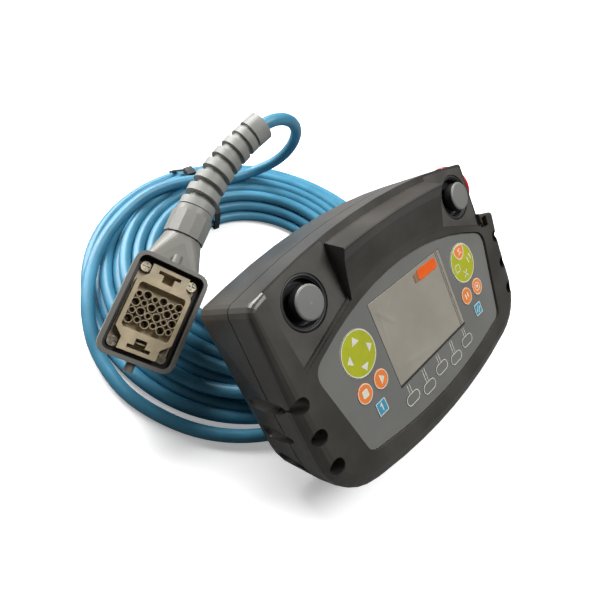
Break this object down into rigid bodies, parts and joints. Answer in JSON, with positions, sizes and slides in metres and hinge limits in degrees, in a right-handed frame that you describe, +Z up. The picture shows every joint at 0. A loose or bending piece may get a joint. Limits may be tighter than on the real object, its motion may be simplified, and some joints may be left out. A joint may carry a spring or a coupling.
{
  "type": "teach pendant",
  "caption": "Hand-held teach pendant with twin thumb joysticks, display, foil keypad, emergency stop and a coiled blue lead with a rectangular multi-pole plug.",
  "frame": {"origin": "centre of the pendant's footprint on the surface it rests on, measured without the lead and its plug", "axes": "+X to the operator's right along the pendant, +Y towards the back, +Z up; the pendant leans back on the coiled lead"},
  "size_m": [0.2651, 0.2955, 0.1265],
  "materials": {
    "housing": "dark warm grey moulded plastic, finely grained",
    "plate": "satin dark grey moulded plastic",
    "rubber": "soft black rubber",
    "steel": "zinc-plated steel",
    "foil": "printed polyester foil, fine texture",
    "window": "clear display window",
    "film": "clear film with an orange peel tab",
    "module": "black moulded plastic",
    "board": "green circuit board",
    "brass": "turned brass",
    "base": "black glass-filled nylon",
    "cap": "grey thumb cap",
    "plunger": "white acetal",
    "red": "red mushroom head",
    "green": "printed yellow-green key",
    "orange": "printed orange key",
    "teal": "printed blue key",
    "cable": "bright blue cable sheath",
    "tie": "black nylon",
    "hood": "light warm grey plastic, moulded",
    "boot": "light grey flexible plastic",
    "insert": "beige contact insert"
  },
  "bodies": {
    "housing": {"front_shell": "housing", "rear_shell": "housing", "housing_seal": "rubber", "housing_screws": "steel", "left_corner_plate": "plate", "right_corner_plate": "plate", "keypad_foil": "foil", "display_window": "window", "display_module": "module", "screen_film": "film", "keypad_board": "board", "main_board": "board", "strap_insert": "brass", "left_stick_base": "base", "left_gaiter": "rubber", "right_stick_base": "base", "right_gaiter": "rubber", "joystick_screws": "steel", "estop_collar": "module", "estop_nut": "steel", "estop_contact_block": "module", "cable_gland": "housing", "gland_nut": "housing", "cable_lead": "cable", "cable_coil": "cable", "cable_tail": "cable", "cable_tie": "tie", "plug_hood": "hood", "plug_insert": "insert", "plug_contacts": "brass", "plug_hardware": "steel", "plug_gland_nut": "hood", "bend_relief": "boot"},
    "left_gimbal": {"left_gimbal": "steel"},
    "left_stick": {"left_stick": "steel", "left_cap": "cap"},
    "right_gimbal": {"right_gimbal": "steel"},
    "right_stick": {"right_stick": "steel", "right_cap": "cap"},
    "estop_plunger": {"estop_plunger": "plunger"},
    "estop_mushroom": {"estop_mushroom": "red"},
    "left_pad_up": {"left_pad_up": "green"},
    "left_pad_left": {"left_pad_left": "green"},
    "left_pad_down": {"left_pad_down": "green"},
    "left_pad_right": {"left_pad_right": "green"},
    "right_pad_up": {"right_pad_up": "green"},
    "right_pad_left": {"right_pad_left": "green"},
    "right_pad_down": {"right_pad_down": "green"},
    "right_pad_right": {"right_pad_right": "green"},
    "left_key_inner": {"left_key_inner": "orange"},
    "left_key_outer": {"left_key_outer": "orange"},
    "right_key_inner": {"right_key_inner": "orange"},
    "right_key_outer": {"right_key_outer": "orange"},
    "left_square_key": {"left_square_key": "teal"},
    "right_square_key": {"right_square_key": "teal"},
    "softkey_1": {"softkey_1": "foil"},
    "softkey_2": {"softkey_2": "foil"},
    "softkey_3": {"softkey_3": "foil"},
    "softkey_4": {"softkey_4": "foil"},
    "softkey_5": {"softkey_5": "foil"}
  },
  "joints": [
    {"name": "left_stick_tilt_y", "type": "hinge", "parent": "housing", "child": "left_gimbal", "pos_m": [-0.0742, 0.02613, 0.09783], "axis": [1, 0, 0], "range_deg": [-12, 12], "stiffness_Nm_per_rad": 0.15},
    {"name": "left_stick_tilt_x", "type": "hinge", "parent": "left_gimbal", "child": "left_stick", "pos_m": [-0.0742, 0.02613, 0.09783], "axis": [0, 0.7815, 0.6239], "range_deg": [-12, 12], "stiffness_Nm_per_rad": 0.15},
    {"name": "right_stick_tilt_y", "type": "hinge", "parent": "housing", "child": "right_gimbal", "pos_m": [0.0698, 0.02613, 0.09783], "axis": [1, 0, 0], "range_deg": [-12, 12], "stiffness_Nm_per_rad": 0.15},
    {"name": "right_stick_tilt_x", "type": "hinge", "parent": "right_gimbal", "child": "right_stick", "pos_m": [0.0698, 0.02613, 0.09783], "axis": [0, 0.7815, 0.6239], "range_deg": [-12, 12], "stiffness_Nm_per_rad": 0.15},
    {"name": "estop_press", "type": "slide", "parent": "housing", "child": "estop_plunger", "axis": [1, 0, 0], "range_m": [-0.0045, 0], "stiffness_N_per_m": 1500},
    {"name": "estop_twist", "type": "hinge", "parent": "estop_plunger", "child": "estop_mushroom", "pos_m": [0.1028, 0.03526, 0.08464], "axis": [1, 0, 0], "range_deg": [0, 45], "stiffness_Nm_per_rad": 0.1},
    {"name": "left_pad_up_press", "type": "slide", "parent": "housing", "child": "left_pad_up", "axis": [0, -0.6239, 0.7815], "range_m": [-0.0004, 0], "stiffness_N_per_m": 2000},
    {"name": "left_pad_left_press", "type": "slide", "parent": "housing", "child": "left_pad_left", "axis": [0, -0.6239, 0.7815], "range_m": [-0.0004, 0], "stiffness_N_per_m": 2000},
    {"name": "left_pad_down_press", "type": "slide", "parent": "housing", "child": "left_pad_down", "axis": [0, -0.6239, 0.7815], "range_m": [-0.0004, 0], "stiffness_N_per_m": 2000},
    {"name": "left_pad_right_press", "type": "slide", "parent": "housing", "child": "left_pad_right", "axis": [0, -0.6239, 0.7815], "range_m": [-0.0004, 0], "stiffness_N_per_m": 2000},
    {"name": "right_pad_up_press", "type": "slide", "parent": "housing", "child": "right_pad_up", "axis": [0, -0.6239, 0.7815], "range_m": [-0.0004, 0], "stiffness_N_per_m": 2000},
    {"name": "right_pad_left_press", "type": "slide", "parent": "housing", "child": "right_pad_left", "axis": [0, -0.6239, 0.7815], "range_m": [-0.0004, 0], "stiffness_N_per_m": 2000},
    {"name": "right_pad_down_press", "type": "slide", "parent": "housing", "child": "right_pad_down", "axis": [0, -0.6239, 0.7815], "range_m": [-0.0004, 0], "stiffness_N_per_m": 2000},
    {"name": "right_pad_right_press", "type": "slide", "parent": "housing", "child": "right_pad_right", "axis": [0, -0.6239, 0.7815], "range_m": [-0.0004, 0], "stiffness_N_per_m": 2000},
    {"name": "left_key_inner_press", "type": "slide", "parent": "housing", "child": "left_key_inner", "axis": [0, -0.6239, 0.7815], "range_m": [-0.0004, 0], "stiffness_N_per_m": 2000},
    {"name": "left_key_outer_press", "type": "slide", "parent": "housing", "child": "left_key_outer", "axis": [0, -0.6239, 0.7815], "range_m": [-0.0004, 0], "stiffness_N_per_m": 2000},
    {"name": "right_key_inner_press", "type": "slide", "parent": "housing", "child": "right_key_inner", "axis": [0, -0.6239, 0.7815], "range_m": [-0.0004, 0], "stiffness_N_per_m": 2000},
    {"name": "right_key_outer_press", "type": "slide", "parent": "housing", "child": "right_key_outer", "axis": [0, -0.6239, 0.7815], "range_m": [-0.0004, 0], "stiffness_N_per_m": 2000},
    {"name": "left_square_key_press", "type": "slide", "parent": "housing", "child": "left_square_key", "axis": [0, -0.6239, 0.7815], "range_m": [-0.0004, 0], "stiffness_N_per_m": 2000},
    {"name": "right_square_key_press", "type": "slide", "parent": "housing", "child": "right_square_key", "axis": [0, -0.6239, 0.7815], "range_m": [-0.0004, 0], "stiffness_N_per_m": 2000},
    {"name": "softkey_1_press", "type": "slide", "parent": "housing", "child": "softkey_1", "axis": [0, -0.6239, 0.7815], "range_m": [-0.0004, 0], "stiffness_N_per_m": 2000},
    {"name": "softkey_2_press", "type": "slide", "parent": "housing", "child": "softkey_2", "axis": [0, -0.6239, 0.7815], "range_m": [-0.0004, 0], "stiffness_N_per_m": 2000},
    {"name": "softkey_3_press", "type": "slide", "parent": "housing", "child": "softkey_3", "axis": [0, -0.6239, 0.7815], "range_m": [-0.0004, 0], "stiffness_N_per_m": 2000},
    {"name": "softkey_4_press", "type": "slide", "parent": "housing", "child": "softkey_4", "axis": [0, -0.6239, 0.7815], "range_m": [-0.0004, 0], "stiffness_N_per_m": 2000},
    {"name": "softkey_5_press", "type": "slide", "parent": "housing", "child": "softkey_5", "axis": [0, -0.6239, 0.7815], "range_m": [-0.0004, 0], "stiffness_N_per_m": 2000}
  ]
}
